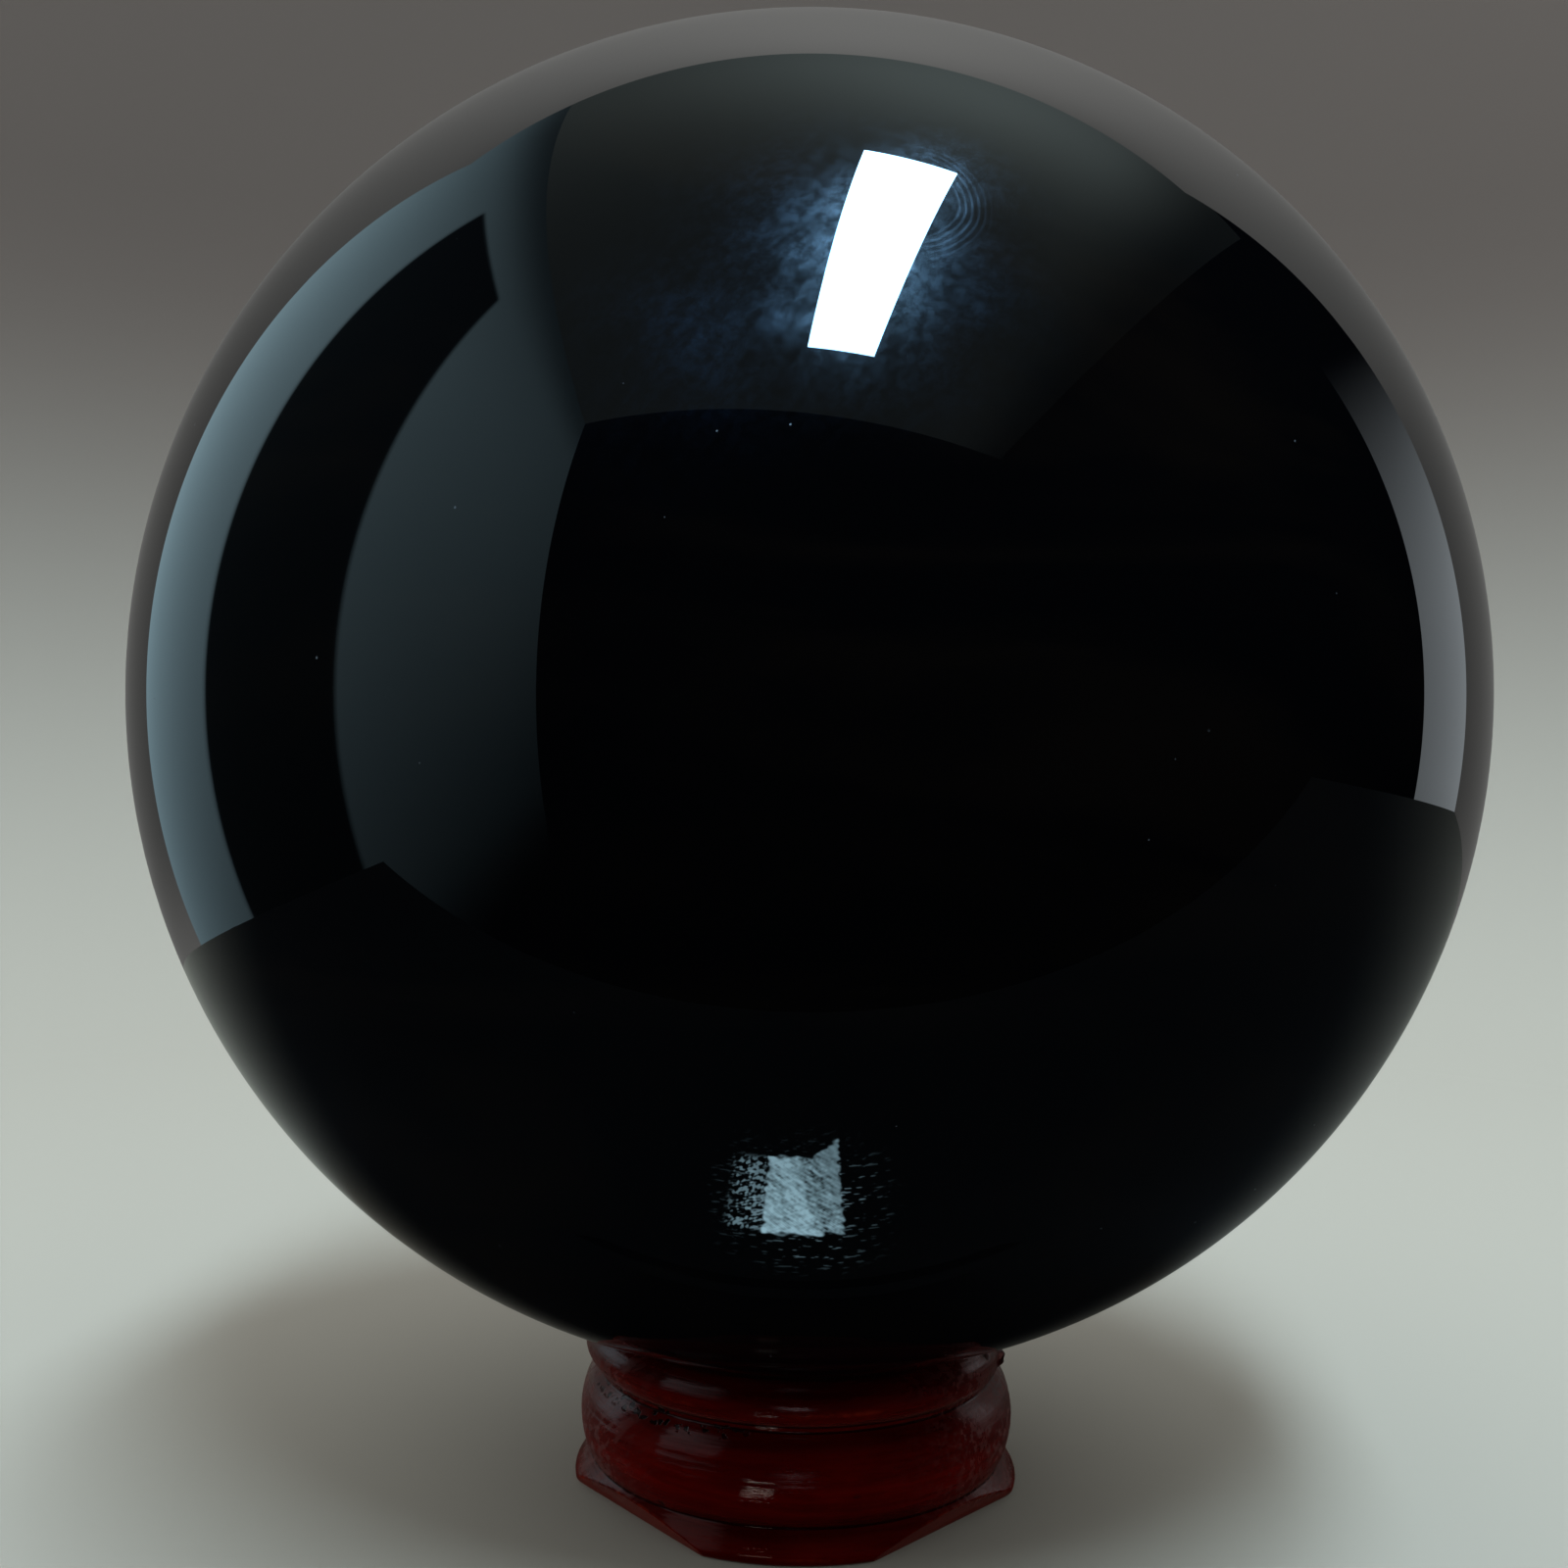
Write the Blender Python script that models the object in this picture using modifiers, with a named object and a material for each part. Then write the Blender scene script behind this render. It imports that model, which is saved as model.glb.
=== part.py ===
"""Obsidian sphere resting in its red lacquered wooden ring stand.

Metres, +Z up. The origin is the middle of the stand's flat underside, on the table. Front is -Y.
"""

import math

import bpy

BALL_DIAMETER = 0.200
BALL_CENTRE_HEIGHT = 0.1205
REST_GAP = 0.0003

# The turned stand's two beads, as ellipses: middle radius and height, then reach out and reach up.
RIM_MIDDLE = (0.0301, 0.0215)
RIM_REACH = (0.0030, 0.0034)
BELLY_MIDDLE = (0.0298, 0.0104)
BELLY_REACH = (0.0040, 0.0075)

# The lip of the foot, a small round bead at the end of a sloping skirt.
LIP_MIDDLE = (0.0338, 0.0008)
LIP_ROUND = 0.0008

SEAT_OUTER_RADIUS = 0.0303
SEAT_INNER_RADIUS = 0.0230
BOWL_RADIUS = 0.0215
BOWL_FLOOR_HEIGHT = 0.0140
BOWL_CORNER = 0.0020
SEAT_LIP_DROP = 0.0012
STEPS_ROUND = 64

# The four flats planed under the edge of the foot, between its four broad toes, in degrees.
FLAT_DIRECTIONS = (48.0, 132.0, 228.0, 312.0)
FOOT_TURN = -1.5
FLAT_LEAN = 34.0
FLAT_DISTANCE_AT_BOTTOM = 0.0303
CUTTER_SIZE = 0.05


def clear_scene():
    for obj in list(bpy.data.objects):
        bpy.data.objects.remove(obj, do_unlink=True)
    for mesh in list(bpy.data.meshes):
        bpy.data.meshes.remove(mesh)


def collection(name):
    made = bpy.data.collections.new(name)
    bpy.context.scene.collection.children.link(made)
    return made


def material(name, colour, roughness, ior):
    made = bpy.data.materials.new(name)
    made.use_nodes = True
    shader = made.node_tree.nodes["Principled BSDF"]
    shader.inputs["Base Color"].default_value = (*colour, 1.0)
    shader.inputs["Roughness"].default_value = roughness
    shader.inputs["Metallic"].default_value = 0.0
    shader.inputs["IOR"].default_value = ior
    made.diffuse_color = (*colour, 1.0)
    return made


def move_to(obj, home):
    for old in list(obj.users_collection):
        old.objects.unlink(obj)
    home.objects.link(obj)


def bead(middle, reach, top, bottom, points):
    """Points of an elliptical bead from the angle top down to the angle bottom, in degrees above level."""
    made = []
    for step in range(points):
        angle = math.radians(top + (bottom - top) * step / (points - 1))
        made.append((middle[0] + reach[0] * math.cos(angle), middle[1] + reach[1] * math.sin(angle)))
    return made


def seat_height(radius):
    """Height of the seat at a radius: the ball's own curve, one gap below it."""
    reach = BALL_DIAMETER / 2 + REST_GAP
    return BALL_CENTRE_HEIGHT - math.sqrt(reach**2 - radius**2)


def stand_profile():
    """Radius and height from the bowl's middle, over the seat and rim, down the outer side to the underside."""
    lip_of_bowl = seat_height(SEAT_INNER_RADIUS)
    bowl = [
        (0.0, BOWL_FLOOR_HEIGHT),
        (BOWL_RADIUS - BOWL_CORNER, BOWL_FLOOR_HEIGHT),
        (BOWL_RADIUS, BOWL_FLOOR_HEIGHT + BOWL_CORNER),
        (BOWL_RADIUS, lip_of_bowl - SEAT_LIP_DROP),
    ]
    seat = []
    for step in range(4):
        radius = SEAT_INNER_RADIUS + (SEAT_OUTER_RADIUS - SEAT_INNER_RADIUS) * step / 3
        seat.append((radius, seat_height(radius)))
    rim = bead(RIM_MIDDLE, RIM_REACH, 72.0, -65.0, 9)
    belly = bead(BELLY_MIDDLE, BELLY_REACH, 70.0, -52.0, 11)
    lip = bead(LIP_MIDDLE, (LIP_ROUND, LIP_ROUND), 35.0, -90.0, 5)
    return bowl + seat + rim + belly + lip + [(0.0, 0.0)]


def make_ball(home):
    bpy.ops.mesh.primitive_ico_sphere_add(
        subdivisions=5, radius=BALL_DIAMETER / 2, location=(0.0, 0.0, BALL_CENTRE_HEIGHT)
    )
    ball = bpy.context.object
    ball.name = ball.data.name = "obsidian_sphere"
    ball.data.materials.append(material("polished_obsidian", (0.004, 0.004, 0.005), 0.03, 1.49))
    ball.data.shade_smooth()
    move_to(ball, home)


def flat_cutter(direction, helpers):
    """A block whose inner face is one flat: it leans outwards as it rises from the underside."""
    bpy.ops.mesh.primitive_cube_add(size=CUTTER_SIZE)
    block = bpy.context.object
    block.name = f"flat_cutter_{round(direction)}"
    half = CUTTER_SIZE / 2
    lean = math.radians(FLAT_LEAN)
    turn = math.radians(direction + FOOT_TURN)
    reach = FLAT_DISTANCE_AT_BOTTOM + half * math.cos(lean)
    block.location = (reach * math.sin(turn), -reach * math.cos(turn), -half * math.sin(lean))
    block.rotation_euler = (lean, 0.0, turn)
    block.hide_render = True
    block.display_type = "WIRE"
    move_to(block, helpers)
    return block


def make_stand(home, helpers):
    profile = stand_profile()
    mesh = bpy.data.meshes.new("wooden_stand")
    edges = [(i, i + 1) for i in range(len(profile) - 1)]
    mesh.from_pydata([(radius, 0.0, height) for radius, height in profile], edges, [])
    stand = bpy.data.objects.new("wooden_stand", mesh)
    home.objects.link(stand)
    turned = stand.modifiers.new("turned", "SCREW")
    turned.axis = "Z"
    turned.angle = 2 * math.pi
    turned.steps = turned.render_steps = STEPS_ROUND
    turned.use_merge_vertices = True
    turned.merge_threshold = 0.00001
    for direction in FLAT_DIRECTIONS:
        flat = stand.modifiers.new(f"flat_{round(direction)}", "BOOLEAN")
        flat.operation = "DIFFERENCE"
        flat.solver = "EXACT"
        flat.object = flat_cutter(direction, helpers)
    mesh.materials.append(material("red_lacquered_wood", (0.150, 0.004, 0.003), 0.18, 1.52))


clear_scene()
model = collection("obsidian_sphere_on_stand")
cutters = collection("cutters")
make_ball(model)
make_stand(model, cutters)
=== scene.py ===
# %% [markdown]
# # A polished obsidian ball in its lacquered ring stand
#
# Obsidian is volcanic glass. A lump of it is ground between cups until it is round, and then
# polished until it mirrors the room. The ball here is 200 mm across and rests in a small turned
# wooden ring, lacquered red, with four flats planed under the edge of its foot.
#
# A black mirror has hardly any colour of its own. Nearly all that the eye sees on it is the room,
# so this lesson spends as much care on what stands round the ball as on the ball itself.

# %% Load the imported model
import math

import bpy
import numpy as np
from mathutils import Matrix, Vector


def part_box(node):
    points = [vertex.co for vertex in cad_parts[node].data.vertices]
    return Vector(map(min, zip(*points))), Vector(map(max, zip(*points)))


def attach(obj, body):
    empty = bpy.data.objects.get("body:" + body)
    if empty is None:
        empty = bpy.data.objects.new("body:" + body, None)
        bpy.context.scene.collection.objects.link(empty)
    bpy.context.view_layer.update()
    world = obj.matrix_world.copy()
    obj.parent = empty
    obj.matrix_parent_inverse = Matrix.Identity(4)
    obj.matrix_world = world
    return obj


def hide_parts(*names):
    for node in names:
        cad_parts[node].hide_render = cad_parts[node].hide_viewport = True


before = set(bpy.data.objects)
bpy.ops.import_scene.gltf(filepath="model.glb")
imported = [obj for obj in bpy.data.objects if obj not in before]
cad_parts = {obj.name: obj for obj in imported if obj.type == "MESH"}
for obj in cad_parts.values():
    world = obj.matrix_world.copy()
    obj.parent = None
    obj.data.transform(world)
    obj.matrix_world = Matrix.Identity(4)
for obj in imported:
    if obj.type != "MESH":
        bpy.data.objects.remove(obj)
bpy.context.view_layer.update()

MM = 0.001

ball_low, ball_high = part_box("obsidian_sphere")
_, stand_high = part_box("wooden_stand")
BALL_MIDDLE = (ball_low + ball_high) / 2
BALL_RADIUS = (ball_high.z - ball_low.z) / 2
print(f"ball radius {BALL_RADIUS / MM:.2f} mm, middle {BALL_MIDDLE.z / MM:.2f} mm above the table")
print(f"stand {2 * stand_high.x / MM:.1f} mm wide and {stand_high.z / MM:.1f} mm high")

# %% [markdown]
# ## The camera
#
# The picture is taken from close by, less than three ball radii from the ball's middle. That is why
# the ball hides so much of its own stand, and why only 32 parts in 100 of its surface show.
# A longer lens from farther off would give the same size of ball but a different ring and a different
# set of reflections, so the distance matters more than the lens. Both are set here by what was measured
# in the picture: where the ball's outline and the grooves of the ring fall.

# %% Place the camera
PICTURE_WIDTH = 1600
FOCAL_PIXELS = 1760.0
CAMERA_BACK = 2.7134 * BALL_RADIUS
CAMERA_DROP = 0.0703 * BALL_RADIUS
YAW, PITCH, ROLL = (math.radians(angle) for angle in (-0.697, 1.163, 0.828))
SENSOR_MM = 36.0


def camera_axes(yaw, pitch, roll):
    """Right, up and forward of a camera that looks along +Y, turned by yaw, tipped by pitch and rolled."""
    forward = Vector((math.sin(yaw) * math.cos(pitch), math.cos(yaw) * math.cos(pitch), -math.sin(pitch)))
    level = Vector((math.cos(yaw), -math.sin(yaw), 0.0))
    upright = level.cross(forward)
    right = math.cos(roll) * level + math.sin(roll) * upright
    up = math.cos(roll) * upright - math.sin(roll) * level
    return right, up, forward


CAMERA_PLACE = BALL_MIDDLE + Vector((0.0, -CAMERA_BACK, -CAMERA_DROP))
RIGHT, UP, FORWARD = camera_axes(YAW, PITCH, ROLL)

camera_data = bpy.data.cameras.new("camera")
camera_data.sensor_width = SENSOR_MM
camera_data.lens = FOCAL_PIXELS / PICTURE_WIDTH * SENSOR_MM
camera_data.clip_start = 0.01
camera_data.clip_end = 20.0
camera = bpy.data.objects.new("camera", camera_data)
bpy.context.scene.collection.objects.link(camera)
turn = Matrix((RIGHT, UP, -FORWARD)).transposed().to_4x4()
camera.matrix_world = Matrix.Translation(CAMERA_PLACE) @ turn
bpy.context.scene.camera = camera
camera_distance = (CAMERA_PLACE - BALL_MIDDLE).length / MM
print(f"lens {camera_data.lens:.1f} mm at {camera_distance:.0f} mm from the ball's middle")

# %% [markdown]
# ## Putting worked-out surfaces into Blender
#
# Both pieces are surfaces computed as whole numpy arrays. Two small helpers carry them into Blender:
# one makes the mesh and tells it to shade smoothly, the other hangs a number on every point, which
# a material can read back by name. Two more read a piece's points back, and give the S curve that
# nearly every fade here is made of.

# %% Mesh helpers


def mesh_object(name, points, faces):
    """An object at the origin whose mesh has these points, in metres, and these faces."""
    mesh = bpy.data.meshes.new(name)
    mesh.from_pydata(points.tolist(), [], faces)
    mesh.shade_smooth()
    mesh.validate()
    made = bpy.data.objects.new(name, mesh)
    bpy.context.scene.collection.objects.link(made)
    return made


def point_value(piece, name, values):
    """Stores one number for each point of the piece, for its material to read."""
    layer = piece.data.attributes.new(name, "FLOAT", "POINT")
    layer.data.foreach_set("value", np.ascontiguousarray(values, dtype=np.float32))


def corners_of(piece):
    """The piece's points as an array of three columns."""
    flat = np.empty(len(piece.data.vertices) * 3)
    piece.data.vertices.foreach_get("co", flat)
    return flat.reshape(-1, 3)


def smooth_step(low, high, value):
    """0 below low, 1 above high, and an S curve between them."""
    t = np.clip((value - low) / (high - low), 0.0, 1.0)
    return t * t * (3.0 - 2.0 * t)


# %% [markdown]
# ## The ball
#
# A globe of rings and spokes bunches its faces at two poles, and a mirror shows that bunching at once.
# A cube blown up into a ball has no poles. Each of its six faces is a grid of equal angles, pushed out
# to the radius, and the six are welded along their edges.
#
# A ground ball is round to a few hundredths of a millimetre. That last error is a set of slow, shallow
# swells left by the grinding cup. They are too small to see as shape, but they bend the reflections a
# little, so the surface gets swells of that size.

# %% Make the ball
FACE_STEPS = 120
SWELL = 0.012 * MM
SWELL_WAVES = 14


def blown_up_cube(steps):
    """Unit directions of a cube's face grids, and the faces between them.

    A point is (1, tan u, tan v) made one long, for u and v from -45 to 45 degrees, turned to each side.
    """
    angle = np.tan(np.linspace(-math.pi / 4, math.pi / 4, steps + 1))
    v, u = np.meshgrid(angle, angle, indexing="ij")
    one = np.ones_like(u)
    sides = [(one, u, v), (-one, -u, v), (-u, one, v), (u, -one, v), (-v, u, one), (v, u, -one)]
    points = np.concatenate([np.stack(side, axis=-1).reshape(-1, 3) for side in sides])
    points /= np.linalg.norm(points, axis=1, keepdims=True)
    cell = np.arange(steps * (steps + 1)).reshape(steps, steps + 1)[:, :-1].reshape(-1, 1)
    face = cell + np.array([[0, 1, steps + 2, steps + 1]])
    offsets = np.arange(6)[:, None, None] * (steps + 1) ** 2
    faces = (face[None] + offsets).reshape(-1, 4)
    _, first, index = np.unique(np.round(points, 6), axis=0, return_index=True, return_inverse=True)
    return points[first], index.reshape(-1)[faces]


def ground_swell(directions, seed):
    """From -1 to 1: the mean of some sine waves of random slow frequencies across the ball."""
    rng = np.random.default_rng(seed)
    frequency = rng.normal(0.0, 4.0, (SWELL_WAVES, 3))
    phase = rng.uniform(0.0, 2 * math.pi, SWELL_WAVES)
    return np.sin(directions @ frequency.T + phase).mean(axis=1)


directions, ball_faces = blown_up_cube(FACE_STEPS)
ball_distance = BALL_RADIUS - SWELL + SWELL * ground_swell(directions, 7)
ball_points = directions * ball_distance[:, None] + np.array(BALL_MIDDLE)
ball = mesh_object("polished_ball", ball_points, ball_faces.tolist())
swell_depth = np.ptp(ball_distance) / MM
print(f"ball: {len(ball_points)} points, {len(ball_faces)} faces, swell {swell_depth:.3f} mm")

# %% [markdown]
# ## The stand
#
# The stand is one piece of wood from the lathe. From the top down it has a rounded rim, a groove,
# a full belly, a second groove, and a foot that spreads like a short skirt and ends in a small lip.
# The lathe gives a profile, and turning that profile about the upright axis gives the body.
#
# Four flats were then planed under the skirt, so that the foot touches the table on four broad toes.
# A flat is a plane. Every point of the turned body that lies outside it is drawn straight back to it,
# and the meeting line is softened a little, because lacquer never leaves a knife edge.

# %% The turned profile
RIM_MIDDLE, RIM_REACH = np.array([30.1, 21.5]) * MM, np.array([3.0, 3.4]) * MM
BELLY_MIDDLE, BELLY_REACH = np.array([29.8, 10.4]) * MM, np.array([4.0, 7.5]) * MM
LIP_MIDDLE, LIP_ROUND = np.array([33.8, 0.8]) * MM, 0.8 * MM
SEAT_OUTER, SEAT_INNER = 30.3 * MM, 23.0 * MM
BOWL_RADIUS, BOWL_FLOOR, BOWL_CORNER = 21.5 * MM, 14.0 * MM, 2.0 * MM
SEAT_DROP = 1.2 * MM
REST_GAP = 0.3 * MM
EVEN_STEP = 0.02 * MM
SOFTENING = 0.16 * MM
PROFILE_ROWS = 190


def bead(middle, reach, top, bottom):
    """An elliptical bead: middle + reach * (cos a, sin a), for a from top down to bottom, in degrees."""
    a = np.radians(np.linspace(top, bottom, 60))
    return np.stack([middle[0] + reach[0] * np.cos(a), middle[1] + reach[1] * np.sin(a)], axis=1)


def seat_height(radius):
    """The ball's own curve, one gap below it."""
    return BALL_MIDDLE.z - np.sqrt((BALL_RADIUS + REST_GAP) ** 2 - radius**2)


def turned_profile():
    """Radius and height from the bowl's middle, over seat and rim, and down the outside to the lip."""
    seat = np.linspace(SEAT_INNER, SEAT_OUTER, 20)
    lip_height = seat_height(SEAT_INNER)
    bowl = np.array([
        (0.0, BOWL_FLOOR),
        (BOWL_RADIUS - BOWL_CORNER, BOWL_FLOOR),
        (BOWL_RADIUS, BOWL_FLOOR + BOWL_CORNER),
        (BOWL_RADIUS, lip_height - SEAT_DROP),
    ])
    return np.concatenate([
        bowl,
        np.stack([seat, seat_height(seat)], axis=1),
        bead(RIM_MIDDLE, RIM_REACH, 72.0, -65.0),
        bead(BELLY_MIDDLE, BELLY_REACH, 70.0, -52.0),
        bead(LIP_MIDDLE, (LIP_ROUND, LIP_ROUND), 35.0, -90.0),
    ])


def even_steps(profile, step):
    """The same line with its points a fixed distance apart."""
    along = np.concatenate([[0.0], np.cumsum(np.linalg.norm(np.diff(profile, axis=0), axis=1))])
    wanted = np.linspace(0.0, along[-1], int(along[-1] / step))
    return np.stack([np.interp(wanted, along, profile[:, i]) for i in (0, 1)], axis=1)


def softened(profile, width, step):
    """The line averaged with its neighbours by a bell curve of this width, with both ends held."""
    reach = int(4 * width / step)
    bell = np.exp(-0.5 * (np.arange(-reach, reach + 1) * step / width) ** 2)
    bell /= bell.sum()
    padded = np.concatenate([
        2 * profile[0] - profile[reach:0:-1],
        profile,
        2 * profile[-1] - profile[-2:-reach - 2:-1],
    ])
    return np.stack([np.convolve(padded[:, i], bell, "valid") for i in (0, 1)], axis=1)


def bending(profile, step):
    """How sharply the line turns, in radians per millimetre: above 0 on an edge, below 0 in a groove."""
    heading = np.unwrap(np.arctan2(*np.gradient(profile, axis=0).T[::-1]))
    return -np.gradient(heading) / (step / MM)


# %% Pick the rows from the profile
fine_line = softened(even_steps(turned_profile(), EVEN_STEP), SOFTENING, EVEN_STEP)
fine_bend = bending(fine_line, EVEN_STEP)
is_outer = np.arange(len(fine_line)) > np.argmax(fine_line[:, 1])
density = np.where(is_outer, 1.0, 0.25)
share = np.cumsum(density) / density.sum()
picked = np.interp(np.linspace(share[0], 1.0, PROFILE_ROWS), share, np.arange(len(share)))
line_radius, line_height, line_bend = (
    np.interp(picked, np.arange(len(values)), values) for values in (*fine_line.T, fine_bend)
)
print(f"profile: {len(fine_line)} even steps")
print(f"it bends from {fine_bend.min():.2f} to {fine_bend.max():.2f} radians per mm")

# %% [markdown]
# The body is a grid of rows down the profile and columns round the axis. Three kinds of things are added
# to the bare turning, all as whole arrays.
#
# The flats come first. Then the lacquer's own form: it was brushed on thick while the piece spun, so it
# stands in low ridges round the body and sags into slow lumps. Last come the accidents: small dents
# chipped out of the rim, the belly and the foot, the rim's right end, which was knocked flat, and the
# dark drop of lacquer that hangs there.

# %% The stand's surface
COLUMNS = 440
UNDERSIDE_ROWS = 14
FLAT_DIRECTIONS = np.radians([48.0, 132.0, 228.0, 312.0])
FOOT_TURN = math.radians(-1.5)
FLAT_LEAN = math.radians(34.0)
FLAT_DISTANCE = 30.3 * MM
FLAT_TOP = 7.0 * MM
EDGE_SOFTNESS = 0.10 * MM
LUMP_HEIGHT = 0.10 * MM
RIDGE_HEIGHT = 0.022 * MM
# The lacquer's relief starts outside the first radius, is full at the second, and fades at the foot.
SHOWN_FROM, SHOWN_FULLY, SHOWN_FOOT = 26.0 * MM, 30.0 * MM, 1.2 * MM
NOT_CUT = -9.0

# Direction from the front in degrees, height and size in millimetres, and depth in millimetres.
CHIPS = [
    (62.0, 23.6, 1.3, 0.35),
    (15.0, 9.2, 0.6, 0.15),
    (-36.0, 5.1, 0.6, 0.30),
    (-118.0, 23.0, 1.2, 0.40),
    (150.0, 12.0, 1.1, 0.25),
    (204.0, 2.2, 1.0, 0.35),
]
BARE_DEPTH = 0.25 * MM
# The knock: its direction in degrees, its reach round the rim, its depth, and where it starts and is full.
KNOCK_DIRECTION, KNOCK_REACH, KNOCK_DEPTH = 88.0, math.radians(26.0), 1.3 * MM
KNOCK_INNER, KNOCK_OUTER = 30.8 * MM, 32.4 * MM
KNOCK_LOW, KNOCK_HIGH = 18.6 * MM, 20.4 * MM
DROP_DIRECTION, DROP_HEIGHT, DROP_SIZE, DROP_OUT = 77.0, 20.4 * MM, 1.4 * MM, 1.0 * MM


def beside(angle, direction):
    """How far each angle is from a direction given in degrees, in radians from -pi to pi."""
    return np.mod(angle - math.radians(direction) + math.pi, 2 * math.pi) - math.pi


def flat_limit(angle, height):
    """Distance from the axis to the nearest flat's plane: (d + height tan lean) / cos of the angle."""
    limit = np.full(np.broadcast(angle, height).shape, 1.0)
    for direction in FLAT_DIRECTIONS + FOOT_TURN:
        facing = np.cos(angle - direction)
        reach = (FLAT_DISTANCE + height * math.tan(FLAT_LEAN)) / np.maximum(facing, 0.05)
        limit = np.where((facing > 0.3) & (height < FLAT_TOP), np.minimum(limit, reach), limit)
    return limit


def soft_least(a, b, width):
    """The lesser of two lengths, with the corner between them rounded over about this width."""
    gap = np.clip(0.5 + 0.5 * (b - a) / width, 0.0, 1.0)
    return b + (a - b) * gap - width * gap * (1.0 - gap)


def waves(angle, height, count, round_rate, up_rate, seed):
    """A sum of sine waves, each a whole number of times round the body, that climb at random rates.

    It is divided by the square root of their count, which gives it a typical size of 0.7.
    """
    rng = np.random.default_rng(seed)
    total = np.zeros(np.broadcast(angle, height).shape)
    for _ in range(count):
        turns = int(rng.integers(0, round_rate + 1))
        climb = rng.normal(0.0, up_rate)
        total += np.sin(turns * angle + climb * height / MM + rng.uniform(0.0, 2 * math.pi))
    return total / math.sqrt(count)


def chip_depth(angle, radius, height):
    """How deep the chips cut at each point, and how much of a chip each point is in, from 0 to 1."""
    depth = np.zeros(angle.shape)
    for direction, level, size, cut in CHIPS:
        across = radius * beside(angle, direction)
        rough = 1.0 + 0.35 * np.sin(3.1 * across / MM + 2.3 * height / MM + direction)
        apart = np.hypot(across, 1.4 * (height - level * MM)) / (size * MM * rough)
        depth = np.maximum(depth, cut * MM * (1.0 - smooth_step(0.35, 1.0, apart)))
    return depth, np.clip(depth / BARE_DEPTH, 0.0, 1.0)


# %% Cut the flats and lay the lacquer on
angle, row_radius = np.meshgrid(np.linspace(0.0, 2 * math.pi, COLUMNS, endpoint=False), line_radius)
_, row_height = np.meshgrid(angle[0], line_height)
_, row_bend = np.meshgrid(angle[0], line_bend)
rows_outer = np.arange(PROFILE_ROWS)[:, None] > np.argmax(line_height)

limit = flat_limit(angle, row_height)
cut_radius = np.where(rows_outer, soft_least(row_radius, limit, EDGE_SOFTNESS), row_radius)
how_cut = np.where(rows_outer, (row_radius - limit) / MM, NOT_CUT)

showing = smooth_step(SHOWN_FROM, SHOWN_FULLY, row_radius) * rows_outer
showing = showing * smooth_step(0.0, SHOWN_FOOT, row_height)
lumps = waves(angle, row_height, count=16, round_rate=9, up_rate=0.35, seed=3)
ridges = waves(angle, row_height, count=26, round_rate=3, up_rate=4.5, seed=5)
depth, in_chip = chip_depth(angle, row_radius, row_height)
cut_radius = cut_radius + showing * (LUMP_HEIGHT * (lumps - 0.8) * 0.6 + RIDGE_HEIGHT * ridges - depth)

knocked = np.exp(-((beside(angle, KNOCK_DIRECTION) / KNOCK_REACH) ** 2)) * rows_outer
knocked = knocked * smooth_step(KNOCK_INNER, KNOCK_OUTER, row_radius)
knocked = knocked * smooth_step(KNOCK_LOW, KNOCK_HIGH, row_height)
from_drop = np.hypot(row_radius * beside(angle, DROP_DIRECTION), 0.8 * (row_height - DROP_HEIGHT))
in_drop = (1.0 - smooth_step(0.3 * DROP_SIZE, DROP_SIZE, from_drop)) * rows_outer
cut_radius = cut_radius - KNOCK_DEPTH * knocked + DROP_OUT * in_drop

edge_radius = cut_radius[-1]
inwards = np.linspace(1.0, 0.0, UNDERSIDE_ROWS + 1)[1:-1, None]
all_radius = np.concatenate([cut_radius[1:], edge_radius * inwards])
all_height = np.concatenate([row_height[1:], np.zeros((UNDERSIDE_ROWS - 1, COLUMNS))])
all_height = np.maximum(all_height, 0.0)
all_angle = np.broadcast_to(angle[0], all_radius.shape)
print(f"stand: {all_radius.shape[0]} rows of {COLUMNS}, lip {edge_radius.max() / MM:.2f} mm out")


# %% Close the stand's surface


def closed_grid(radius, height, angle, top_height, bottom_height):
    """Points (r sin a, -r cos a, h) in rows that close round the axis, with one point closing each end."""
    rows, columns = radius.shape
    grid = np.stack([radius * np.sin(angle), -radius * np.cos(angle), height], axis=-1).reshape(-1, 3)
    points = np.concatenate([grid, [[0.0, 0.0, top_height], [0.0, 0.0, bottom_height]]])
    row, column = np.meshgrid(np.arange(rows - 1), np.arange(columns), indexing="ij")
    here = (row * columns + column).reshape(-1)
    right_of = (row * columns + (column + 1) % columns).reshape(-1)
    sides = np.stack([here, here + columns, right_of + columns, right_of], axis=1)
    around = np.arange(columns)
    after = (around + 1) % columns
    last = (rows - 1) * columns
    top = np.stack([np.full(columns, rows * columns), around, after], axis=1)
    bottom = np.stack([np.full(columns, rows * columns + 1), last + after, last + around], axis=1)
    return points, sides.tolist() + top.tolist() + bottom.tolist()


stand_points, stand_faces = closed_grid(all_radius, all_height, all_angle, BOWL_FLOOR, 0.0)
stand = mesh_object("lacquered_stand", stand_points, stand_faces)
print(f"stand: {len(stand_points)} points, {len(stand_faces)} faces")
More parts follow.
